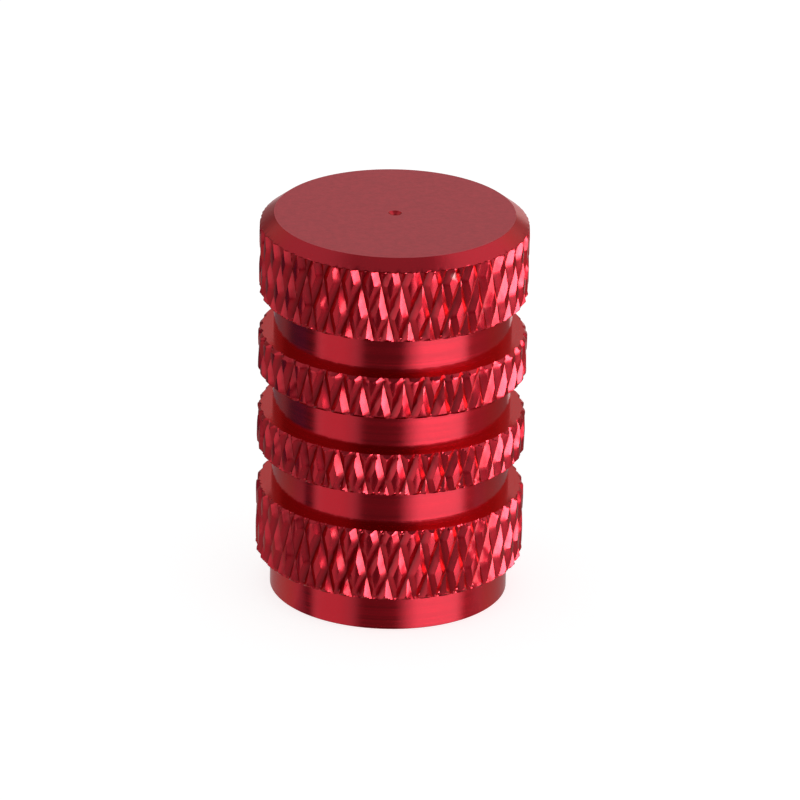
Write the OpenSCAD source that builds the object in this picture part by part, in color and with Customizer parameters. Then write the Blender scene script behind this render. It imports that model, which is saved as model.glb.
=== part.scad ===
// Knurled screw cap for a tyre valve, standing on its open end.
// The axis is Z, and the origin is at the middle of the open end.

/* [Hole] */
// Diameter of the thread's root, clear of the valve's 7.75 mm thread
thread_d = 7.8; // [7.2:0.05:8.4]
// Width and height of the bevel that leads into the thread
lead_in = 0.2; // [0.1:0.05:0.3]
// Step from the thread's root in to the washer's seat
seat_step = 0.4; // [0.3:0.05:1]
// Thickness of the solid crown above the hole
crown_t = 4.45; // [2:0.05:6]

/* [Outside] */
// Thickness of the wall between the thread and a groove's floor
groove_wall = 0.53; // [0.35:0.01:1]
// Thickness of the wall of the bare collar at the open end
collar_wall = 0.53; // [0.35:0.01:1]
// Height of the bare collar
collar_h = 1.4; // [1:0.05:3]
// Height of the knurled band next to the collar
lower_band_h = 2.75; // [2:0.05:4]
// Height of each narrow knurled band
narrow_band_h = 1.6; // [1.2:0.05:2.5]
// Height of the knurled band below the top
upper_band_h = 2.75; // [2:0.05:4]
// Width of each groove between two bands
groove_w = 1.45; // [1:0.05:2.5]
// Depth of each groove below the lands of the bands
groove_depth = 0.57; // [0.35:0.01:1]
// Width and height of the bevel at the other edges of the bands
edge_bevel = 0.12; // [0.05:0.01:0.25]
// Height of the chamfer at the top edge
chamfer_h = 0.4; // [0.2:0.05:0.9]
// Width of the chamfer at the top edge
chamfer_w = 0.53; // [0.3:0.01:1.2]
// Diameter of the lathe's centre mark in the top
mark_d = 0.5; // [0.3:0.05:1.5]
// Depth of the lathe's centre mark
mark_depth = 0.12; // [0.05:0.01:0.4]

/* [Knurl] */
// Grooves of each lean around the cap
knurl_lines = 40; // [24:1:60]
// Depth of the V-shaped grooves of the knurl
knurl_depth = 0.18; // [0.1:0.01:0.3]
// Share of the pitch that stays as a flat land on each diamond
land_share = 0.4; // [0.2:0.05:0.6]
// Lean from the axis of the grooves that climb to the left, in degrees
left_lean = 13.6; // [10:0.1:35]
// Lean from the axis of the grooves that climb to the right, in degrees
right_lean = 20.4; // [10:0.1:35]
// Height at which a row of groove crossings lies
knurl_start_h = 1.09; // [0:0.01:1.2]
// Turn of the pattern about the axis, in degrees
knurl_turn = 3.1; // [0:0.1:15]

/* [Seal] */
// Thickness of the rubber washer, which fills the depth of its seat
washer_t = 1.5; // [1:0.1:2.5]
// Diameter of the washer's own hole, which clears the valve's pin
washer_hole_d = 3.2; // [2:0.1:5]
// Gap between the washer's rim and its seat
washer_gap = 0.05; // [0.01:0.01:0.2]

/* [Hidden] */
$fn = 128;

// Lower and upper level of each knurled band, from the collar up
heights = [lower_band_h, narrow_band_h, narrow_band_h, upper_band_h];
function band_z(i) = i == 0 ? collar_h : band_z(i - 1) + heights[i - 1] + groove_w;
last_band = len(heights) - 1;
cap_h = band_z(last_band) + upper_band_h + chamfer_h;

// Radii from the hole out. The turned stock cuts the knurl's pyramids short,
// and what is left of it on each of them is a land.
thread_r = thread_d / 2;
seat_r = thread_r - seat_step;
floor_r = thread_r + groove_wall;
collar_r = thread_r + collar_wall;
stock_r = floor_r + groove_depth;
top_r = stock_r - chamfer_w;
root_r = stock_r - knurl_depth;
peak_r = root_r + knurl_depth / (1 - land_share);

// Levels in the hole
seat_z = cap_h - crown_t;
shoulder_z = seat_z - washer_t;

// The two leans cross once in each row, so one pitch around is both shifts of a row
pitch_a = 360 / knurl_lines;
row_h = 2 * PI * stock_r / knurl_lines / (tan(left_lean) + tan(right_lean));
shift_a = pitch_a * tan(left_lean) / (tan(left_lean) + tan(right_lean));
rows_below = ceil(knurl_start_h / row_h) + 1;
rows = rows_below + ceil((cap_h - knurl_start_h) / row_h) + 1;

// Point p of a row: even ones are crossings of the grooves, odd ones are peaks
function knurl_point(row, p) =
    let (r = p % 2 == 0 ? root_r : peak_r,
         a = knurl_turn - shift_a * (row - rows_below) + pitch_a * p / 2)
    [r * cos(a), r * sin(a), knurl_start_h + row_h * (row - rows_below)];
function id(row, p) = 2 * knurl_lines * row + (p + 2 * knurl_lines) % (2 * knurl_lines);

// A bar with the diamond knurl all along it. Each diamond is a pyramid of four faces.
module knurled_bar() {
    across = 2 * knurl_lines;
    points = [for (row = [0:rows], p = [0:across - 1]) knurl_point(row, p)];
    pyramids = [for (row = [0:rows - 1], p = [0:2:across - 2]) each [
        [id(row, p), id(row + 1, p), id(row + 1, p + 1)],
        [id(row, p), id(row + 1, p + 1), id(row + 1, p + 2)],
        [id(row + 1, p), id(row, p - 1), id(row, p - 2)],
        [id(row + 1, p), id(row, p), id(row, p - 1)]]];
    foot = [for (p = [0:across - 1]) id(0, p)];
    head = [for (p = [across - 1:-1:0]) id(rows, p)];
    polyhedron(points, concat(pyramids, [foot, head]));
}

// The form that the lathe leaves: collar, bevelled bands, grooves, chamfer and centre mark
module turned_form() {
    steps = [for (i = [0:last_band - 1]) each [
        [stock_r - edge_bevel, band_z(i)],
        [stock_r, band_z(i) + edge_bevel],
        [stock_r, band_z(i) + heights[i] - edge_bevel],
        [stock_r - edge_bevel, band_z(i) + heights[i]],
        [floor_r, band_z(i) + heights[i]],
        [floor_r, band_z(i + 1)]]];
    foot = [[0, 0], [collar_r, 0], [collar_r, collar_h]];
    head = [
        [stock_r - edge_bevel, band_z(last_band)],
        [stock_r, band_z(last_band) + edge_bevel],
        [stock_r, cap_h - chamfer_h],
        [top_r, cap_h],
        [mark_d / 2, cap_h],
        [0, cap_h - mark_depth]];
    rotate_extrude() polygon(concat(foot, steps, head));
}

// The blind hole: lead-in bevel, thread's root and the washer's seat
module hole() {
    below = 1;
    rotate_extrude() polygon([
        [0, -below],
        [thread_r + lead_in + below, -below],
        [thread_r, lead_in],
        [thread_r, shoulder_z],
        [seat_r, shoulder_z],
        [seat_r, seat_z],
        [0, seat_z]]);
}

module cap_body() {
    color([0.7, 0.08, 0.12])
    difference() {
        intersection() {
            knurled_bar();
            turned_form();
        }
        hole();
    }
}

module seal_washer() {
    color([0.08, 0.08, 0.08])
    rotate_extrude()
    translate([washer_hole_d / 2, seat_z - washer_t])
    square([seat_r - washer_gap - washer_hole_d / 2, washer_t]);
}

cap_body();
seal_washer();
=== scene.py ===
"""Tyre valve cap: a turned, diamond knurled cap of red anodised aluminium with a rubber seal washer.

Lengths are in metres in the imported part's frame: Z is the cap's axis, and the open end rests at Z = 0.
"""

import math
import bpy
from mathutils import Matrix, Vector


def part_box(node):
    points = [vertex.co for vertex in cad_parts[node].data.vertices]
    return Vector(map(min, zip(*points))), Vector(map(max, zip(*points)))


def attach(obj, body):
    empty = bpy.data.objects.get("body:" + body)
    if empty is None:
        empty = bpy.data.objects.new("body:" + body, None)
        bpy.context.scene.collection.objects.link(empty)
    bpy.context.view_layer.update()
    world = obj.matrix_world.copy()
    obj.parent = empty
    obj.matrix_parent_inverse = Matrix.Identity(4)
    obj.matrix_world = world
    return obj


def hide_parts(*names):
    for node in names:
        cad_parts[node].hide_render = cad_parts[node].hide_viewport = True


bl_info = {
    "name": "Tyre Valve Cap",
    "version": (1, 0, 0),
    "blender": (4, 5, 0),
    "location": "View3D > Sidebar > Valve Cap",
    "description": "Builds a knurled, anodised valve cap with its seal washer, and a plain studio round it",
    "category": "Add Mesh",
}

import bpy
import numpy as np
from mathutils import Matrix, Vector

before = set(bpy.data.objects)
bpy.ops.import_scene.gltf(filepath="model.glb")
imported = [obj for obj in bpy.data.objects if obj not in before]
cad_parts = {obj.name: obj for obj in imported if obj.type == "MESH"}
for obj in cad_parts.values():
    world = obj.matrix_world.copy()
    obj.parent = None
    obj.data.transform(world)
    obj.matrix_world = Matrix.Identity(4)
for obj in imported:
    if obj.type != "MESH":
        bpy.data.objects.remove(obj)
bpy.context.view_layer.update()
CAP_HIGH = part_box("cap_body")[1]
SEAL_LOW, SEAL_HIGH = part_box("seal_washer")
MM = 0.001


def linear(hex_colour):
    """An sRGB hex colour such as "#B01525" as linear red, green and blue."""
    value = np.array([int(hex_colour[i:i + 2], 16) for i in (1, 3, 5)]) / 255
    return tuple(np.where(value <= 0.04045, value / 12.92, ((value + 0.055) / 1.055) ** 2.4))


def length(name, description, default):
    """A property for a length in metres."""
    return bpy.props.FloatProperty(
        name=name, description=description, default=default, min=0, unit="LENGTH", precision=5)


def colour(name, description, hex_colour):
    """A property for a linear colour, given as sRGB hex."""
    return bpy.props.FloatVectorProperty(
        name=name, description=description, default=linear(hex_colour), min=0, max=1, size=3, subtype="COLOR")


class CapSizes(bpy.types.PropertyGroup):
    """Sizes of the turned and knurled cap."""

    radius: length("Radius", "Radius of the knurled bands over their lands", CAP_HIGH[0])
    height: length("Height", "Height of the cap", CAP_HIGH[2])
    collar_height: length("Collar", "Height of the bare collar at the open end", 1.4 * MM)
    wide_band: length("Wide band", "Height of the first and the last knurled band", 2.75 * MM)
    narrow_band: length("Narrow band", "Height of the two narrow knurled bands", 1.6 * MM)
    groove_width: length("Groove width", "Width of the plain grooves", 1.45 * MM)
    groove_depth: length("Groove depth", "Depth of the plain grooves and of the collar", 0.57 * MM)
    chamfer_width: length("Chamfer width", "Width of the chamfer at the top edge", 0.53 * MM)
    chamfer_height: length("Chamfer height", "Height of the chamfer at the top edge", 0.4 * MM)
    bevel: length("Bevel", "Width and height of the bevel at the other edges of the bands", 0.12 * MM)
    edge: length("Edge break", "Bevel that deburring leaves on the sharp edges", 0.03 * MM)
    mark_radius: length("Centre mark", "Radius of the lathe's centre mark in the top", 0.25 * MM)
    mark_depth: length("Centre mark depth", "Depth of the lathe's centre mark", 0.12 * MM)
    ding_azimuth: bpy.props.FloatProperty(
        name="Ding azimuth", description="Place of the ding, measured from the camera's side to the right",
        default=math.radians(28.9), subtype="ANGLE")
    ding_height: length("Ding height", "Height of the ding's middle", 14.17 * MM)
    ding_radius: length("Ding radius", "Radius of the ding's hollow", 0.16 * MM)
    ding_depth: length("Ding depth", "Depth of the ding", 0.06 * MM)
    thread_radius: length("Thread root", "Radius at the root of the thread in the hole", 3.9 * MM)
    thread_depth: length("Thread depth", "Height of the thread's ridges", 0.42 * MM)
    thread_pitch: length("Thread pitch", "Rise of the thread in one turn", 25.4 / 32 * MM)
    lead_in: length("Lead-in", "Bevel at the mouth of the hole", 0.2 * MM)
    seat_radius: length("Seat radius", "Radius of the washer's seat at the end of the hole", 3.5 * MM)


class KnurlSizes(bpy.types.PropertyGroup):
    """The diamond knurl that is pressed into the bands."""

    lines: bpy.props.IntProperty(
        name="Lines", description="Grooves of each lean around the cap", default=40, min=8)
    depth: length("Depth", "Depth of the V-shaped grooves that climb to the right", 0.197 * MM)
    left_depth: length("Left depth", "Depth of the grooves that climb to the left", 0.17 * MM)
    rounding: length("Rounding", "Softness of the edges of the lands", 0.008 * MM)
    crown: length("Crown", "Height of the lands' crown across each family of grooves", 0.006 * MM)
    root: length("Root", "Distance from a groove's line within which its root is rounded", 0.02 * MM)
    land: bpy.props.FloatProperty(
        name="Land", description="Share of the pitch that stays as a land", default=0.4, min=0, max=1,
        subtype="FACTOR")
    left_lean: bpy.props.FloatProperty(
        name="Left lean", description="Lean from the axis of the grooves that climb to the left",
        default=math.radians(13.6), subtype="ANGLE")
    right_lean: bpy.props.FloatProperty(
        name="Right lean", description="Lean from the axis of the grooves that climb to the right",
        default=math.radians(20.4), subtype="ANGLE")
    start: length("Start", "Height of one row of groove crossings", 1.09 * MM)
    turn: bpy.props.FloatProperty(
        name="Turn", description="Turn of the pattern about the axis", default=math.radians(3.1),
        subtype="ANGLE")
    runout: length("Run-out", "Height over which the grooves run out below the chamfer", 0.07 * MM)
    unevenness: bpy.props.FloatProperty(
        name="Unevenness", description="How much single grooves differ in depth and place", default=0.08,
        min=0)
    relief: length("Relief", "Height of the soft unevenness of the pressed metal", 0.003 * MM)
    samples: bpy.props.IntProperty(
        name="Samples", description="Columns of the surface across one pitch", default=10, min=5)


class SealSizes(bpy.types.PropertyGroup):
    """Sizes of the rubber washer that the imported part's box does not tell."""

    hole_radius: length("Hole radius", "Radius of the washer's own hole", 1.6 * MM)
    fillet: length("Fillet", "Radius of the washer's moulded edges", 0.12 * MM)


class FinishColours(bpy.types.PropertyGroup):
    """Colours of the finishes."""

    gloss: colour("Anodised gloss", "Dyed oxide on the turned and knurled surfaces", "#D31A30")
    matt: colour("Anodised matt", "Dyed oxide on the finely blasted top", "#C9444D")
    bare: colour("Bare metal", "Aluminium where the oxide has gone", "#E0A0A0")
    rubber: colour("Rubber", "Nitrile rubber of the washer", "#232323")


class StudioSettings(bpy.types.PropertyGroup):
    """Camera and floor."""

    distance: length("Distance", "From the middle of the cap to the camera", 331.1 * MM)
    elevation: bpy.props.FloatProperty(
        name="Elevation", description="Height of the camera above the horizon",
        default=math.radians(22.62), subtype="ANGLE")
    roll: bpy.props.FloatProperty(
        name="Roll", description="Turn of the camera about its own axis",
        default=math.radians(1.154), subtype="ANGLE")
    lens: bpy.props.FloatProperty(name="Lens", description="Focal length in millimetres", default=400.3)
    floor_colour: colour("Floor", "Pale floor", "#E6E6E6")


FULL_TURN = 2 * math.pi
# Columns of a knurled band for each column of a plain ring, and the bend from which an edge may be hard
COARSE = 4
HARD_ANGLE = math.radians(18)

# Rows of a knurled band at a bevel and at the chamfer, as shares of their heights, and the least distance
# from them to the lattice's own rows, in rows
BEVEL_ROWS = np.array([0, 0.5, 0.9, 1.15])
CHAMFER_ROWS = np.array([-1.2, -1.12, -1.04, -0.97, -0.9, -0.6, -0.3, 0])
ROW_CLEARANCE = 0.25
# How far the grooves stray sideways, as a share of their unevenness, and the seeds of the random draws
STRAY = 0.3
LEFT_SEED, RIGHT_SEED, RELIEF_SEED = 3, 7, 11
# The soft relief: the length of its waves, how many there are, and the radius round which they close
WAVE_SIZE, WAVE_COUNT, WAVE_RADIUS = 0.8 * MM, 24, 5 * MM

# The ding's rim: its height as a share of the ding's depth, its place and its width in the ding's radii
RIM_HEIGHT, RIM_PLACE, RIM_WIDTH = 0.4, 1.5, 0.4
# The bare spot on that rim: its place in the ding's radii, and the radii where it ends and where it is full
SPOT_PLACE, SPOT_END, SPOT_CORE = 1.45, 0.17 * MM, 0.02 * MM

# Rings of the centre mark and of the flat top, columns of the washer, and points on each of its fillets
MARK_RINGS, FLAT_RINGS = 5, 6
WASHER_COLUMNS, FILLET_POINTS = 120, 5
# The thread: levels in a turn, the ends of its crest and of its flank in half pitches from the crest's
# middle, and the lengths over which it fades in and out, in pitches
THREAD_LEVELS = 8
CREST_END, FLANK_END = 0.25, 0.875
FADE_IN, FADE_OUT = 0.5, 0.6

# Sizes of the lathe's marks and of the grains of the finishes, and the heights of their bumps
LATHE_MARKS, LATHE_HEIGHT = 0.08 * MM, 0.01 * MM
PRESSED_GRAIN, BLASTED_GRAIN, RUBBER_GRAIN, GRAIN_HEIGHT = 0.15 * MM, 0.1 * MM, 0.1 * MM, 0.02 * MM
BLASTED_CLOUDS = 0.22 * MM

# The floor's reach and level, and those of the near floor, which ends just in front of the axis
FLOOR_REACH, FLOOR_LEVEL = 1.5, -0.006 * MM
NEAR_REACH, NEAR_FRONT, NEAR_LEVEL = 20 * MM, -4 * MM, -0.003 * MM
# Distances of the sphere of cards and of the lamp, and the steps of the sphere in degrees
CARDS_DISTANCE, LAMP_DISTANCE, CARDS_STEP = 0.6, 0.5, 3
# The photograph's width, and how far its middle lies from the cap's, both in pixels
PICTURE_WIDTH = 800
SHIFT_RIGHT, SHIFT_UP = 8.57, -1.37


def points_on_rings(radius, angle, height):
    """Rings of points (r cos a, r sin a, z): the three arrays broadcast to rows by columns."""
    radius, angle, height = np.broadcast_arrays(radius, angle, height)
    return np.stack([radius * np.cos(angle), radius * np.sin(angle), height], axis=-1)


def rings(radius, height, columns, start=0.0):
    """Plain circles: one ring of columns points for each pair of a radius and a height."""
    angle = start + FULL_TURN * np.arange(columns) / columns
    return points_on_rings(np.asarray(radius)[:, None], angle[None, :], np.asarray(height)[:, None])


def strip(upper, lower):
    """Faces between two rings, given as arrays of vertex numbers, with the lower ring nearer the end.

    Rings of equal count are joined by quads. Where one has four times the points of the other, each edge
    of the coarse ring takes a fan of five triangles, and a single point is joined by one triangle an edge.
    """
    upper_next, lower_next = np.roll(upper, -1), np.roll(lower, -1)
    if len(upper) == len(lower):
        return np.stack([upper, lower, lower_next, upper_next], axis=1).tolist()
    if len(upper) == 1:
        return np.stack([np.full_like(lower, upper[0]), lower, lower_next], axis=1).tolist()
    if len(lower) == 1:
        return np.stack([upper, np.full_like(upper, lower[0]), upper_next], axis=1).tolist()
    fine, coarse = (upper, lower) if len(upper) > len(lower) else (lower, upper)
    corner = np.append(fine, fine[0]).reshape(-1)
    f = [corner[k:len(fine) + k:COARSE] for k in range(COARSE)] + [corner[COARSE::COARSE]]
    c, c_next = coarse, np.roll(coarse, -1)
    fans = [(f[0], c, f[1]), (f[1], c, f[2]), (f[2], c, c_next), (f[2], c_next, f[3]), (f[3], c_next, f[4])]
    faces = np.concatenate([np.stack(fan, axis=1) for fan in fans])
    return (faces if fine is upper else faces[:, ::-1]).tolist()


def net(numbers, upright):
    """Triangles between the rows of a lattice of vertex numbers, from its top down.

    The columns and one diagonal of the cells are the lattice's lines. The two triangles on an edge of a row
    form a rhombus, and where upright is set it is halved from top to bottom instead of along the row.
    """
    upper, lower = numbers[:-1], numbers[1:]
    hanging = np.stack([upper, lower, np.roll(upper, -1, axis=1)], axis=-1)
    standing = np.stack([lower, np.roll(lower, -1, axis=1), np.roll(upper, -1, axis=1)], axis=-1)
    left, bottom = numbers[1:-1], numbers[2:]
    right, top = np.roll(left, -1, axis=1), np.roll(numbers[:-2], -1, axis=1)
    turned = upright[1:-1, :, None]
    standing[:-1] = np.where(turned, np.stack([left, bottom, top], axis=-1), standing[:-1])
    hanging[1:] = np.where(turned, np.stack([bottom, right, top], axis=-1), hanging[1:])
    return np.concatenate([hanging.reshape(-1, 3), standing.reshape(-1, 3)]).tolist()


def ring_shell(name, blocks):
    """One closed mesh from blocks of rings, in order from one pole to the other.

    A block is (points, lead, finish, hard): lead is the material number of the strip that leads to it, finish
    that of its own faces, and hard tells whether its edges are hard where it bends by more than HARD_ANGLE.
    Points is rows by columns by 3, or by 5 for a lattice, with a value for the mesh's attribute "groove" and
    one that tells net where to halve a rhombus upright.
    """
    vertices, faces, finishes, hard, grooves, last, count = [], [], [], [], [], None, 0
    for points, lead, finish, is_hard in blocks:
        rows, columns, values = points.shape
        is_lattice = values == 5
        vertices.append(points[..., :3].reshape(-1, 3))
        grooves.append(points[..., 3].ravel() if is_lattice else np.zeros(rows * columns))
        hard.append(np.full(rows * columns, is_hard))
        numbers = count + np.arange(rows * columns).reshape(rows, columns)
        count += rows * columns
        if last is not None:
            new = strip(last, numbers[0])
            faces += new
            finishes += [lead] * len(new)
        if is_lattice:
            new = net(numbers, points[..., 4] > 0)
        else:
            new = [face for pair in zip(numbers[:-1], numbers[1:]) for face in strip(*pair)]
        faces += new
        finishes += [finish] * len(new)
        last = numbers[-1]
    mesh = bpy.data.meshes.new(name)
    mesh.from_pydata(np.concatenate(vertices).tolist(), [], faces)
    mesh.polygons.foreach_set("material_index", finishes)
    mesh.polygons.foreach_set("use_smooth", [True] * len(mesh.polygons))
    mesh.set_sharp_from_angle(angle=HARD_ANGLE)
    is_hard = np.concatenate(hard)
    ends = np.empty(len(mesh.edges) * 2, dtype=np.int32)
    mesh.edges.foreach_get("vertices", ends)
    sharp = np.empty(len(mesh.edges), dtype=bool)
    mesh.attributes["sharp_edge"].data.foreach_get("value", sharp)
    mesh.attributes["sharp_edge"].data.foreach_set("value", sharp & is_hard[ends[0::2]] & is_hard[ends[1::2]])
    mesh.attributes.new("groove", "FLOAT", "POINT").data.foreach_set("value", np.concatenate(grooves))
    mesh.validate()
    mesh.update()
    return mesh


def uneven(count, seed):
    """A repeatable value from -1 to 1 for each of count grooves."""
    return np.random.default_rng(seed).uniform(-1, 1, count)


def waves(angle, height):
    """Smooth random relief of about 1 up and down: a sum of sines that closes around the cap."""
    draw = np.random.default_rng(RELIEF_SEED)
    total = np.zeros(np.broadcast_shapes(angle.shape, height.shape))
    for _ in range(WAVE_COUNT):
        around = round(draw.normal() * FULL_TURN * WAVE_RADIUS / WAVE_SIZE)
        along = draw.normal() * FULL_TURN / WAVE_SIZE
        total += np.sin(around * angle + along * height + draw.uniform(0, FULL_TURN))
    return total / math.sqrt(WAVE_COUNT)


def soft_min(a, b, width):
    """The smaller of two arrays, with the crease between them rounded over about width."""
    return (a + b - np.hypot(a - b, width)) / 2


def turned_limit(cap, height, low, high, is_top):
    """Radius that the lathe leaves on a band: plain, with a bevel at each end or the chamfer at the top.

    Each bevel is a cone, and the creases between the cones and the band are rounded over the edge break.
    """
    below = cap.radius - cap.bevel + (height - low)
    if is_top:
        above = cap.radius - (height - high + cap.chamfer_height) * cap.chamfer_width / cap.chamfer_height
    else:
        above = cap.radius - cap.bevel + (high - height)
    limit = soft_min(below, above, cap.edge / 2)
    return np.minimum(soft_min(np.full(height.shape, cap.radius), limit, cap.edge / 2), cap.radius)


def ding(cap, angle, height):
    """Depth of the small ding below the top edge: a round hollow less a raised rim, both bell curves."""
    # its azimuth is measured from the camera's side, which is -Y, and brought to within half a turn
    around = (angle - cap.ding_azimuth + math.pi / 2 + math.pi) % FULL_TURN - math.pi
    away = np.hypot(around * cap.radius, height - cap.ding_height) / cap.ding_radius
    rim = RIM_HEIGHT * np.exp(-((away - RIM_PLACE) / RIM_WIDTH) ** 2)
    return cap.ding_depth * (np.exp(-away ** 2) - rim)


def knurled_band(cap, knurl, low, high, is_top, start):
    """Lattice of a knurled band, from its top down, with its first point near the angle start.

    The columns run along the grooves that lean left, and the rows are spaced so that the others run along
    the cells' diagonals. A groove's depth falls evenly from its rounded root to the land's edge, and the
    deeper of the two families counts. The lands are crowned: they fall by the crown's height times the
    square of the way from the middle between two grooves to the land's edge. No point stands proud of the
    turned form. The fourth value of a point is its depth below that form, as a share of a groove's depth.
    The fifth is 1 where a rhombus lies on the upright ridge between two flanks, where the two families'
    phases cancel.
    """
    pitch = FULL_TURN * cap.radius / knurl.lines
    left, right = math.tan(knurl.left_lean), math.tan(knurl.right_lean)
    step = pitch / (left + right) / knurl.samples
    # rows at the creases of the turned form, and the lattice's own rows in between
    foot = low + cap.bevel * BEVEL_ROWS
    if is_top:
        head = high + cap.chamfer_height * CHAMFER_ROWS
    else:
        head = high - cap.bevel * BEVEL_ROWS[::-1]
    first = math.ceil((foot[-1] - knurl.start) / step + ROW_CLEARANCE)
    last = math.floor((head[0] - knurl.start) / step - ROW_CLEARANCE)
    own_rows = np.arange(first, last + 1)
    row = np.concatenate([(foot - knurl.start) / step, own_rows, (head - knurl.start) / step])[::-1, None]
    height = knurl.start + row * step
    offset = round(((start - knurl.turn) * cap.radius + left * row[0, 0] * step) / pitch * knurl.samples)
    column = offset + np.arange(knurl.lines * knurl.samples)[None, :] + 0 * row
    flank = (1 - knurl.land) * pitch / 2
    cut = np.full(column.shape, -knurl.depth)
    shift, fall = np.zeros(column.shape), np.zeros(column.shape)
    families = ((column, knurl.left_depth, LEFT_SEED), (column - row, knurl.depth, RIGHT_SEED))
    for phase, full, seed in families:
        phase = phase / knurl.samples
        line = np.round(phase).astype(int) % knurl.lines
        depth = full * (1 + knurl.unevenness * uneven(knurl.lines, seed)[line])
        away = np.hypot((phase - np.round(phase)) * pitch, knurl.root)
        cut = np.maximum(cut, depth * (1 - away / flank))
        fall += knurl.crown * np.clip((pitch / 2 - away) / (pitch / 2 - flank), 0, 1) ** 2
        shift += STRAY * knurl.unevenness * uneven(knurl.lines, seed + 1)[line]
    cut = fall - soft_min(-cut, np.zeros(cut.shape), knurl.rounding)
    angle = knurl.turn + ((column / knurl.samples + shift) * pitch - left * row * step) / cap.radius
    if is_top:
        cut = cut * np.clip((high - cap.chamfer_height + cap.edge - height) / knurl.runout, 0, 1)
    relief = knurl.relief * waves(angle, height)
    limit = turned_limit(cap, height + 0 * angle, low, high, is_top)
    radius = np.minimum(cap.radius - cut + relief, limit)
    groove = (limit - radius) / knurl.depth
    if is_top:
        radius = np.minimum(radius - ding(cap, angle, height), limit)
    upright = ((2 * column - row + 1) % knurl.samples == 0) & (row == np.round(row))
    return np.dstack([points_on_rings(radius, angle, height), groove, upright])


def cap_blocks(cap, knurl):
    """Blocks of rings for the whole cap, from the centre mark over the outside and up into the hole."""
    turned, knurled, matt, inside = range(4)
    coarse = knurl.lines * knurl.samples // COARSE
    floor_radius = cap.radius - cap.groove_depth
    top_radius = cap.radius - cap.chamfer_width

    # the top: pole, centre mark and flat
    start = 0.0
    mark = np.linspace(0, 1, MARK_RINGS + 1)[1:]
    mark_height = cap.height - cap.mark_depth * (1 - mark ** 2)
    flat_radius = np.linspace(cap.mark_radius, top_radius - cap.edge, FLAT_RINGS + 1)[1:]
    blocks = [
        (rings([0], [cap.height - cap.mark_depth], 1), knurled, knurled, False),
        (rings(mark * cap.mark_radius, mark_height, coarse, start), knurled, knurled, True),
        (rings(flat_radius, np.full(FLAT_RINGS, cap.height), coarse, start), matt, matt, False),
    ]

    # the four bands from the top down, each with the groove floor or the collar below it
    heights = [cap.wide_band, cap.narrow_band, cap.narrow_band, cap.wide_band]
    bottoms = [cap.collar_height]
    for height in heights[:-1]:
        bottoms.append(bottoms[-1] + height + cap.groove_width)
    for number in (3, 2, 1, 0):
        low = bottoms[number]
        is_top = number == 3
        high = cap.height if is_top else low + heights[number]
        if not is_top:
            blocks.append((rings([floor_radius], [high], coarse, start), turned, turned, True))
        band = knurled_band(cap, knurl, low, high, is_top, start)
        blocks.append((band, matt if is_top else turned, knurled, True))
        start = math.atan2(band[-1, 0, 1], band[-1, 0, 0])
        blocks.append((rings([floor_radius], [low], coarse, start), turned, turned, True))

    # the collar's foot, the rim and the lead-in
    foot = rings([floor_radius, floor_radius - cap.edge], [cap.edge, 0], coarse, start)
    blocks.append((foot, turned, turned, True))
    mouth = cap.thread_radius + cap.lead_in
    blocks.append((rings([mouth], [0], coarse, start), turned, turned, True))

    # the thread: a right-handed helical ridge that fades in at the mouth and out at the washer
    shoulder = SEAL_LOW[2]
    level = np.arange(cap.lead_in, shoulder, cap.thread_pitch / THREAD_LEVELS)[:, None]
    angle = start + FULL_TURN * np.arange(coarse)[None, :] / coarse
    phase = level / cap.thread_pitch - angle / FULL_TURN
    away = np.abs(phase - np.round(phase)) * 2
    ridge = np.clip((FLANK_END - away) / (FLANK_END - CREST_END), 0, 1)
    fade = np.clip((level - cap.lead_in) / (FADE_IN * cap.thread_pitch), 0, 1)
    fade = fade * np.clip((shoulder - level) / (FADE_OUT * cap.thread_pitch), 0, 1)
    thread = points_on_rings(cap.thread_radius - cap.thread_depth * ridge * fade, angle, level)
    blocks.append((thread, inside, inside, False))

    # the washer's seat and the end of the hole
    seat = rings([cap.thread_radius, cap.seat_radius], [shoulder, shoulder], coarse, start)
    blocks.append((seat, inside, inside, True))
    blocks.append((rings([cap.seat_radius], [SEAL_HIGH[2]], coarse, start), inside, inside, True))
    blocks.append((rings([0], [SEAL_HIGH[2]], 1), inside, inside, False))
    return blocks


def add_node(tree, kind, inputs=None, **settings):
    """Adds a node, sets its properties, and gives each named input a value or a link from a socket."""
    node = tree.nodes.new(kind)
    for key, value in settings.items():
        setattr(node, key, value)
    for key, value in (inputs or {}).items():
        if isinstance(value, bpy.types.NodeSocket):
            tree.links.new(value, node.inputs[key])
        else:
            node.inputs[key].default_value = value
    return node


def new_material(name):
    """An empty node material, its tree and its output node."""
    material = bpy.data.materials.new(name)
    material.use_nodes = True
    material.node_tree.nodes.clear()
    return material, material.node_tree, material.node_tree.nodes.new("ShaderNodeOutputMaterial")


def ramp(tree, value, start, end, low=0.0, high=1.0):
    """Maps a value evenly from the range start to end onto the range low to high, and holds it beyond."""
    return add_node(tree, "ShaderNodeMapRange", {
        "Value": value, "From Min": start, "From Max": end, "To Min": low, "To Max": high}).outputs[0]


def grained(tree, place, size, detail, strength):
    """The normal of a surface with a fine random grain."""
    grain = add_node(tree, "ShaderNodeTexNoise", {"Vector": place, "Scale": 1 / size, "Detail": detail})
    bump = add_node(tree, "ShaderNodeBump", {
        "Height": grain.outputs["Fac"], "Strength": strength, "Distance": GRAIN_HEIGHT})
    return bump.outputs["Normal"]


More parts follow.
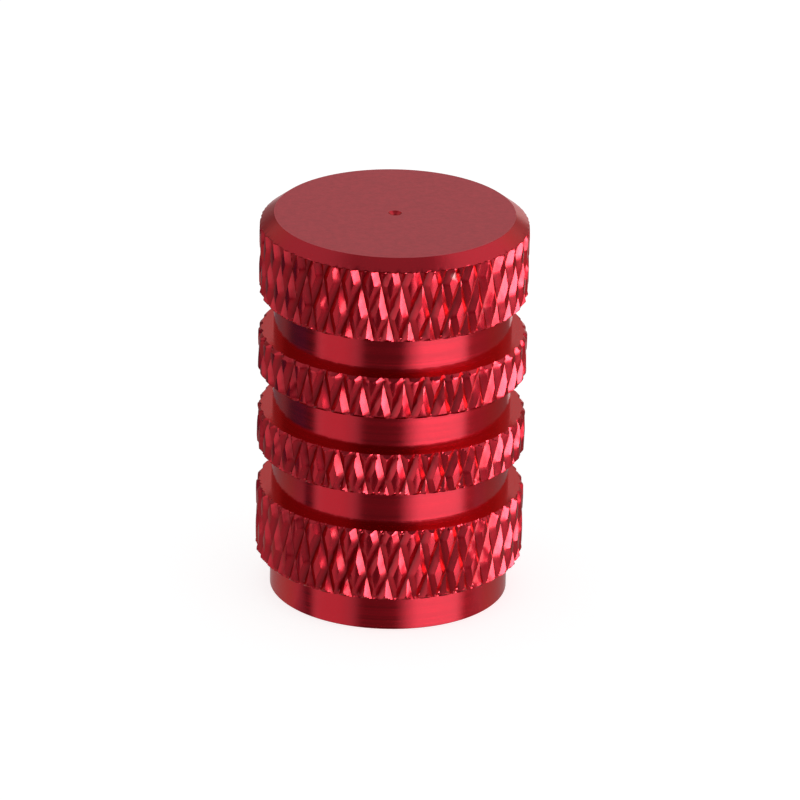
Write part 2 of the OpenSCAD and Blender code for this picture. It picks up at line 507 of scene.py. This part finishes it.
def lathe_lines(tree):
    """Noise that is constant round the axis: it varies with the radius and the height, as tool marks do."""
    place = add_node(tree, "ShaderNodeTexCoord").outputs["Object"]
    flat = add_node(tree, "ShaderNodeVectorMath", {0: place, 1: (1, 1, 0)}, operation="MULTIPLY")
    radius = add_node(tree, "ShaderNodeVectorMath", {0: flat.outputs[0]}, operation="LENGTH")
    height = add_node(tree, "ShaderNodeSeparateXYZ", {0: place})
    where = add_node(tree, "ShaderNodeCombineXYZ", {"X": radius.outputs["Value"], "Y": height.outputs["Z"]})
    lines = add_node(tree, "ShaderNodeTexNoise", {
        "Vector": where.outputs[0], "Scale": 1 / LATHE_MARKS, "Detail": 2.0}, noise_dimensions="2D")
    return lines.outputs["Fac"]


def anodised_turned(colours):
    """Aluminium turned bright and anodised red: a clear hard oxide over dyed metal, with fine tool marks."""
    material, tree, output = new_material("anodised_turned")
    lines = lathe_lines(tree)
    bump = add_node(tree, "ShaderNodeBump", {"Height": lines, "Strength": 0.25, "Distance": LATHE_HEIGHT})
    shader = add_node(tree, "ShaderNodeBsdfPrincipled", {
        "Base Color": (*colours.gloss, 1), "Specular Tint": (*colours.gloss, 1), "Metallic": 1.0,
        "Roughness": ramp(tree, lines, start=0.3, end=0.7, low=0.13, high=0.22), "Coat Weight": 0.6,
        "Coat Roughness": 0.15, "Normal": bump.outputs["Normal"]})
    tree.links.new(shader.outputs["BSDF"], output.inputs["Surface"])
    return material


def anodised_knurled(colours, sizes):
    """The same anodised metal where the knurling wheels pressed it: rougher down in the grooves, and darker
    there by painted shade, and bare in one bright spot on the ding's rim."""
    material, tree, output = new_material("anodised_knurled")
    place = add_node(tree, "ShaderNodeTexCoord").outputs["Object"]
    groove = add_node(tree, "ShaderNodeAttribute", attribute_name="groove").outputs["Fac"]
    # painted shade: the colour darkens from 0.78 on the lands to 0.46 deep in the grooves, standing in for
    # the shade that falls there
    groove_painted_shade = ramp(tree, groove, start=0.45, end=0.9, low=0.78, high=0.46)
    scaled_dye = add_node(tree, "ShaderNodeVectorMath", {0: colours.gloss, "Scale": groove_painted_shade}, operation="SCALE")
    azimuth = sizes.ding_azimuth - SPOT_PLACE * sizes.ding_radius / sizes.radius
    spot = (sizes.radius * math.sin(azimuth), -sizes.radius * math.cos(azimuth), sizes.ding_height)
    away = add_node(tree, "ShaderNodeVectorMath", {0: place, 1: spot}, operation="DISTANCE")
    bare = ramp(tree, away.outputs["Value"], start=SPOT_END, end=SPOT_CORE, high=0.8)
    colour_of_metal = add_node(tree, "ShaderNodeMix", {
        "Factor": bare, "A": scaled_dye.outputs[0], "B": colours.bare}, data_type="VECTOR")
    shader = add_node(tree, "ShaderNodeBsdfPrincipled", {
        "Base Color": colour_of_metal.outputs[1], "Specular Tint": (*colours.gloss, 1), "Metallic": 1.0,
        "Roughness": ramp(tree, groove, start=0.0, end=0.45, low=0.24, high=0.31), "Coat Weight": 0.5,
        "Coat Roughness": 0.15, "Normal": grained(tree, place, PRESSED_GRAIN, detail=3.0, strength=0.15)})
    tree.links.new(shader.outputs["BSDF"], output.inputs["Surface"])
    return material


def anodised_matt(colours):
    """The same anodised metal on the top face, finely blasted: greyer, matt and grained."""
    material, tree, output = new_material("anodised_matt")
    place = add_node(tree, "ShaderNodeTexCoord").outputs["Object"]
    cloud = add_node(tree, "ShaderNodeTexNoise", {
        "Vector": place, "Scale": 1 / BLASTED_CLOUDS, "Detail": 4.0, "Roughness": 0.7})
    light = ramp(tree, cloud.outputs["Fac"], start=0.3, end=0.7, low=0.9, high=1.1)
    scaled_dye = add_node(tree, "ShaderNodeVectorMath", {0: colours.matt, "Scale": light}, operation="SCALE")
    shader = add_node(tree, "ShaderNodeBsdfPrincipled", {
        "Base Color": scaled_dye.outputs[0], "Metallic": 0.6, "Roughness": 0.5,
        "Normal": grained(tree, place, BLASTED_GRAIN, detail=4.0, strength=0.3)})
    tree.links.new(shader.outputs["BSDF"], output.inputs["Surface"])
    return material


def moulded_rubber(colours):
    """Moulded black nitrile rubber: matt, with a fine grain from the mould."""
    material, tree, output = new_material("moulded_rubber")
    place = add_node(tree, "ShaderNodeTexCoord").outputs["Object"]
    shader = add_node(tree, "ShaderNodeBsdfPrincipled", {
        "Base Color": (*colours.rubber, 1), "Roughness": 0.6,
        "Normal": grained(tree, place, RUBBER_GRAIN, detail=3.0, strength=0.2)})
    tree.links.new(shader.outputs["BSDF"], output.inputs["Surface"])
    return material


def link_piece(name, mesh, materials):
    """Puts a mesh into the scene as an object at the origin, with its materials."""
    for material in materials:
        mesh.materials.append(material)
    piece = bpy.data.objects.new(name, mesh)
    bpy.context.scene.collection.objects.link(piece)
    return piece


class VALVECAP_OT_cap(bpy.types.Operator):
    """Build the turned and knurled cap with its threaded hole"""

    bl_idname = "valvecap.cap"
    bl_label = "Knurled Cap"

    def execute(self, context):
        scene = context.scene
        colours = scene.valve_cap_colours
        mesh = ring_shell("cap_shell", cap_blocks(scene.valve_cap, scene.valve_cap_knurl))
        # the hole was tapped after turning, so its wall has the turned finish too
        turned = anodised_turned(colours)
        knurled = anodised_knurled(colours, scene.valve_cap)
        piece = link_piece("knurled_cap", mesh, [turned, knurled, anodised_matt(colours), turned])
        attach(piece, "root")
        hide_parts("cap_body")
        return {"FINISHED"}


class VALVECAP_OT_washer(bpy.types.Operator):
    """Build the rubber washer at the end of the hole"""

    bl_idname = "valvecap.washer"
    bl_label = "Seal Washer"

    def execute(self, context):
        # a ring with rounded edges: a rounded rectangle carried round the axis
        seal = context.scene.valve_cap_seal
        inner, outer = seal.hole_radius, SEAL_HIGH[0]
        low, high = SEAL_LOW[2], SEAL_HIGH[2]
        fillet = seal.fillet
        corners = [(outer, high, 0), (inner, high, 90), (inner, low, 180), (outer, low, 270)]
        turn = np.radians(np.linspace(0, 90, FILLET_POINTS))
        profile = []
        for radius, height, start in corners:
            along = np.radians(start) + turn
            centre_r = radius - fillet if radius == outer else radius + fillet
            centre_z = height - fillet if height == high else height + fillet
            profile += list(zip(centre_r + fillet * np.cos(along), centre_z + fillet * np.sin(along)))
        profile = np.array(profile)
        points = rings(profile[:, 0], profile[:, 1], WASHER_COLUMNS)
        numbers = np.arange(len(profile) * WASHER_COLUMNS).reshape(len(profile), WASHER_COLUMNS)
        faces = []
        for ring, after in zip(numbers, np.roll(numbers, -1, axis=0)):
            faces += strip(after, ring)
        mesh = bpy.data.meshes.new("washer_ring")
        mesh.from_pydata(points.reshape(-1, 3).tolist(), [], faces)
        mesh.polygons.foreach_set("use_smooth", [True] * len(mesh.polygons))
        mesh.update()
        piece = link_piece("rubber_washer", mesh, [moulded_rubber(context.scene.valve_cap_colours)])
        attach(piece, "root")
        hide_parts("seal_washer")
        return {"FINISHED"}


def background_rays(tree):
    """Is 1 for the rays that show the background: camera, glossy and transmission rays."""
    path = add_node(tree, "ShaderNodeLightPath").outputs
    seen = add_node(tree, "ShaderNodeMath", {
        0: path["Is Camera Ray"], 1: path["Is Glossy Ray"]}, operation="MAXIMUM")
    either = add_node(tree, "ShaderNodeMath", {
        0: seen.outputs[0], 1: path["Is Transmission Ray"]}, operation="MAXIMUM")
    return either.outputs[0]


def studio_world():
    """White where it is seen, and a plain soft light everywhere else."""
    world = bpy.data.worlds.new("studio")
    world.use_nodes = True
    tree = world.node_tree
    tree.nodes.clear()
    strength = ramp(tree, background_rays(tree), start=0.0, end=1.0, low=0.6)
    sky = add_node(tree, "ShaderNodeBackground", {"Color": (1, 1, 1, 1), "Strength": strength})
    output = add_node(tree, "ShaderNodeOutputWorld")
    tree.links.new(sky.outputs[0], output.inputs["Surface"])
    bpy.context.scene.world = world


def sheet_mesh(name, across, deep, height):
    """A level rectangle that faces up, from its two ranges of x and y."""
    (west, east), (south, north) = across, deep
    mesh = bpy.data.meshes.new(name)
    mesh.from_pydata([(west, south, height), (east, south, height), (east, north, height),
                      (west, north, height)], [], [(0, 1, 2, 3)])
    return mesh


def studio_floor(settings):
    """A pale matt floor that shows white where no shadow falls."""
    mesh = sheet_mesh("floor_plane", (-FLOOR_REACH, FLOOR_REACH), (-FLOOR_REACH, FLOOR_REACH), FLOOR_LEVEL)
    material, tree, output = new_material("pale_floor")
    # lit things see it plain, and where it shows it also shines, so that only the cap's shadow is below white
    plain = add_node(tree, "ShaderNodeBsdfDiffuse", {"Color": (*settings.floor_colour, 1)})
    shaded = add_node(tree, "ShaderNodeBsdfDiffuse", {"Color": (0.5, 0.5, 0.5, 1)})
    fill = add_node(tree, "ShaderNodeEmission", {"Color": (1, 1, 1, 1), "Strength": 0.75})
    white = add_node(tree, "ShaderNodeAddShader", {0: shaded.outputs[0], 1: fill.outputs[0]})
    mix = add_node(tree, "ShaderNodeMixShader", {
        0: background_rays(tree), 1: plain.outputs[0], 2: white.outputs[0]})
    # seen from below it lets through, so that the hole can be looked into
    back = add_node(tree, "ShaderNodeNewGeometry").outputs["Backfacing"]
    clear = add_node(tree, "ShaderNodeBsdfTransparent")
    one_sided = add_node(tree, "ShaderNodeMixShader", {0: back, 1: mix.outputs[0], 2: clear.outputs[0]})
    tree.links.new(one_sided.outputs[0], output.inputs["Surface"])
    floor = link_piece("floor", mesh, [material])
    floor.visible_glossy = False
    floor.visible_shadow = False


def mirrored_only(card):
    """Makes a card of the stage show in reflections and nowhere else."""
    for ray in ("camera", "diffuse", "shadow", "transmission", "volume_scatter"):
        setattr(card, "visible_" + ray, False)


def near_floor():
    """The floor beside and behind the cap as the metal mirrors it, seen in reflections only.

    It fades outwards and, over a short way, to the front, where the cards show what the metal mirrors.
    """
    mesh = sheet_mesh("near_floor", (-NEAR_REACH, NEAR_REACH), (NEAR_FRONT, NEAR_REACH), NEAR_LEVEL)
    material, tree, output = new_material("mirrored_floor")
    place = add_node(tree, "ShaderNodeTexCoord").outputs["Object"]
    away = add_node(tree, "ShaderNodeVectorMath", {0: place}, operation="LENGTH").outputs["Value"]
    light = ramp(tree, away, start=5 * MM, end=15 * MM, low=0.53, high=0.35)
    outer = ramp(tree, away, start=19 * MM, end=16 * MM)
    depth = add_node(tree, "ShaderNodeSeparateXYZ", {"Vector": place}).outputs["Y"]
    front = ramp(tree, depth, start=-3.4 * MM, end=-2.6 * MM)
    cover = add_node(tree, "ShaderNodeMath", {0: outer, 1: front}, operation="MULTIPLY")
    clear = add_node(tree, "ShaderNodeBsdfTransparent")
    shine = add_node(tree, "ShaderNodeEmission", {"Color": (1, 1, 1, 1), "Strength": light})
    mix = add_node(tree, "ShaderNodeMixShader", {
        0: cover.outputs[0], 1: clear.outputs[0], 2: shine.outputs[0]})
    tree.links.new(mix.outputs[0], output.inputs["Surface"])
    material.cycles.emission_sampling = "NONE"
    mirrored_only(link_piece("near_floor", mesh, [material]))


def direction(azimuth, elevation):
    """Unit vector for an azimuth, from the camera's side to the right, and an elevation, in degrees."""
    a, e = np.radians(azimuth), np.radians(elevation)
    return np.stack([np.sin(a) * np.cos(e), -np.cos(a) * np.cos(e), np.sin(e) + 0 * a], axis=-1)


# Cards round the cap, as the photograph's reflections show them: a name, the azimuths from the camera's
# side and positive to the right, the elevations and the width of the soft edges, all in degrees, and the
# radiance in red, green and blue. Each card lies over those before it.
CARDS = (
    ("bright room", (-180, 180), (-90, 90), 0, (1.18, 1.55, 1.5)),
    ("ceiling", (-180, 180), (30, 90), 12, (0.24, 0.24, 0.24)),
    ("overhead", (-180, 180), (72, 90), 12, (0.42, 0.36, 0.36)),
    ("back, right half", (165, 180), (-90, 10), 10, (0.9, 0.8, 0.8)),
    ("back, left half", (-180, -168), (-90, 10), 10, (0.9, 0.8, 0.8)),
    ("back wall", (-180, 180), (10, 30), 8, (0.27, 0.27, 0.27)),
    ("right wall", (28, 156), (10, 30), 8, (0.55, 0.55, 0.55)),
    ("left back wall", (-180, -132), (10, 30), 10, (0.62, 0.62, 0.62)),
    ("right back wall", (128, 180), (10, 34), 10, (0.75, 0.75, 0.75)),
    ("right wing", (70, 156), (29, 68), 8, (0.95, 0.95, 0.95)),
    ("left wing", (-156, -70), (29, 68), 8, (0.58, 0.58, 0.58)),
    ("right", (76, 156), (-90, 16), 10, (0.37, 0.22, 0.22)),
    ("left", (-160, -74), (-90, 16), 14, (0.08, 0.06, 0.06)),
    ("blue", (-135, -90), (-90, 16), 10, (0.08, 0.09, 0.18)),
    ("far left", (-170, -120), (-90, 16), 14, (0.25, 0.25, 0.28)),
    ("fill", (-75, -36), (-90, 12), 14, (0.65, 0.55, 0.55)),
    ("front", (-36, 19), (-90, 62), 20, (0.12, 0.08, 0.08)),
    ("horizon left", (-170, -80), (-9, 9), 10, (0.45, 0.45, 0.45)),
    ("horizon front", (-50, 22), (-9, 9), 10, (0.5, 0.5, 0.5)),
    ("horizon right", (80, 156), (-9, 9), 10, (0.6, 0.6, 0.6)),
    ("left lamp", (-85, -33), (-10, 12), 12, (1.1, 1.1, 1.1)),
    ("key's upper edge", (32, 80), (-5, 12), 8, (7.5, 7.5, 7.5)),
    ("left ground", (-180, 14), (-90, -31), 8, (0.78, 0.5, 0.5)),
    ("key's ground", (14, 74), (-90, -31), 8, (0.72, 0.55, 0.55)),
    ("right ground", (74, 180), (-90, -31), 8, (0.95, 0.65, 0.65)),
    ("deep ground", (-180, 180), (-90, -40), 12, (0.38, 0.38, 0.38)),
    ("front ground", (-40, 30), (-44, -32), 8, (0.38, 0.24, 0.24)),
)


def surround():
    """A sphere of cards that is seen in reflections only.

    A card's cover is the product of a ramp at each of its four sides, centred on the side. The sum is
    stored at the vertices.
    """
    azimuth, elevation = np.meshgrid(np.arange(-180, 180, CARDS_STEP), np.arange(-90, 91, CARDS_STEP))
    light = np.ones((*azimuth.shape, 3))
    for _, azimuths, elevations, softness, radiance in CARDS:
        cover = np.ones(azimuth.shape)
        for place, (low, high), closed in ((azimuth, azimuths, 180), (elevation, elevations, 90)):
            if low > -closed:
                cover = cover * np.clip((place - low) / softness + 0.5, 0, 1)
            if high < closed:
                cover = cover * np.clip((high - place) / softness + 0.5, 0, 1)
        light = light + (np.array(radiance) - light) * cover[..., None]
    numbers = np.arange(azimuth.size).reshape(azimuth.shape)
    after = np.roll(numbers, -1, axis=1)
    faces = np.stack([numbers[:-1], after[:-1], after[1:], numbers[1:]], axis=-1)
    mesh = bpy.data.meshes.new("surround")
    places = CARDS_DISTANCE * direction(azimuth, elevation)
    mesh.from_pydata(places.reshape(-1, 3).tolist(), [], faces.reshape(-1, 4).tolist())
    mesh.attributes.new("light", "FLOAT_VECTOR", "POINT").data.foreach_set("vector", light.ravel())
    material, tree, output = new_material("studio_cards")
    read = add_node(tree, "ShaderNodeAttribute", attribute_name="light")
    shine = add_node(tree, "ShaderNodeEmission", {"Color": read.outputs["Vector"], "Strength": 1.0})
    tree.links.new(shine.outputs[0], output.inputs["Surface"])
    material.cycles.emission_sampling = "NONE"
    mirrored_only(link_piece("surround", mesh, [material]))


def softbox(name, azimuth, elevation, width, height, radiance):
    """A rectangular lamp that faces the cap. Its power follows from its size in metres and its radiance."""
    lamp = bpy.data.lights.new(name, "AREA")
    lamp.shape = "RECTANGLE"
    lamp.size, lamp.size_y = width, height
    lamp.energy = math.pi * width * height * radiance
    holder = bpy.data.objects.new(name, lamp)
    toward = Vector(direction(azimuth, elevation))
    holder.location = toward * LAMP_DISTANCE
    holder.rotation_euler = toward.to_track_quat("Z", "Y").to_euler()
    holder.visible_camera = False
    bpy.context.scene.collection.objects.link(holder)


def studio_camera(settings, height):
    """The camera at the photograph's angle, aimed at the middle of the cap."""
    data = bpy.data.cameras.new("camera")
    data.lens = settings.lens
    data.sensor_width = 36
    data.shift_x, data.shift_y = SHIFT_RIGHT / PICTURE_WIDTH, SHIFT_UP / PICTURE_WIDTH
    data.clip_start, data.clip_end = 0.01, 10
    camera = bpy.data.objects.new("camera", data)
    toward = Vector(direction(0, math.degrees(settings.elevation)))
    place = Vector((0, 0, height / 2)) + toward * settings.distance
    turned = toward.to_track_quat("Z", "Y").to_matrix() @ Matrix.Rotation(settings.roll, 3, "Z")
    camera.matrix_world = Matrix.Translation(place) @ turned.to_4x4()
    bpy.context.scene.collection.objects.link(camera)
    bpy.context.scene.camera = camera


class VALVECAP_OT_stage(bpy.types.Operator):
    """Set up the pale floor, the soft light and the camera"""

    bl_idname = "valvecap.stage"
    bl_label = "Studio"

    def execute(self, context):
        scene = context.scene
        settings = scene.valve_cap_studio
        scene.view_settings.view_transform = "Standard"
        studio_world()
        studio_floor(settings)
        near_floor()
        surround()
        softbox("key", azimuth=44, elevation=-3, width=0.54, height=0.22, radiance=4.1)
        studio_camera(settings, scene.valve_cap.height)
        return {"FINISHED"}


class VALVECAP_PT_panel(bpy.types.Panel):
    """Lists the sizes and the pieces"""

    bl_label = "Valve Cap"
    bl_space_type = "VIEW_3D"
    bl_region_type = "UI"
    bl_category = "Valve Cap"

    def draw(self, context):
        for group in GROUPS:
            box = self.layout.box()
            for key in GROUPS[group].__annotations__:
                box.prop(getattr(context.scene, group), key)
        for operator in OPERATORS:
            self.layout.operator(operator.bl_idname)


GROUPS = {
    "valve_cap": CapSizes,
    "valve_cap_knurl": KnurlSizes,
    "valve_cap_seal": SealSizes,
    "valve_cap_colours": FinishColours,
    "valve_cap_studio": StudioSettings,
}
OPERATORS = (VALVECAP_OT_cap, VALVECAP_OT_washer, VALVECAP_OT_stage)


def register():
    """Registers the groups, the operators and the panel, and ties the groups to the scene."""
    for group in GROUPS.values():
        bpy.utils.register_class(group)
    for operator in OPERATORS:
        bpy.utils.register_class(operator)
    bpy.utils.register_class(VALVECAP_PT_panel)
    for name, group in GROUPS.items():
        setattr(bpy.types.Scene, name, bpy.props.PointerProperty(type=group))


def unregister():
    """Takes back what register did, in reverse order."""
    for name in GROUPS:
        delattr(bpy.types.Scene, name)
    bpy.utils.unregister_class(VALVECAP_PT_panel)
    for operator in reversed(OPERATORS):
        bpy.utils.unregister_class(operator)
    for group in reversed(GROUPS.values()):
        bpy.utils.unregister_class(group)


def main():
    """Builds the cap, its washer and the stage."""
    register()
    bpy.ops.valvecap.cap()
    bpy.ops.valvecap.washer()
    bpy.ops.valvecap.stage()


if __name__ == "__main__":
    main()
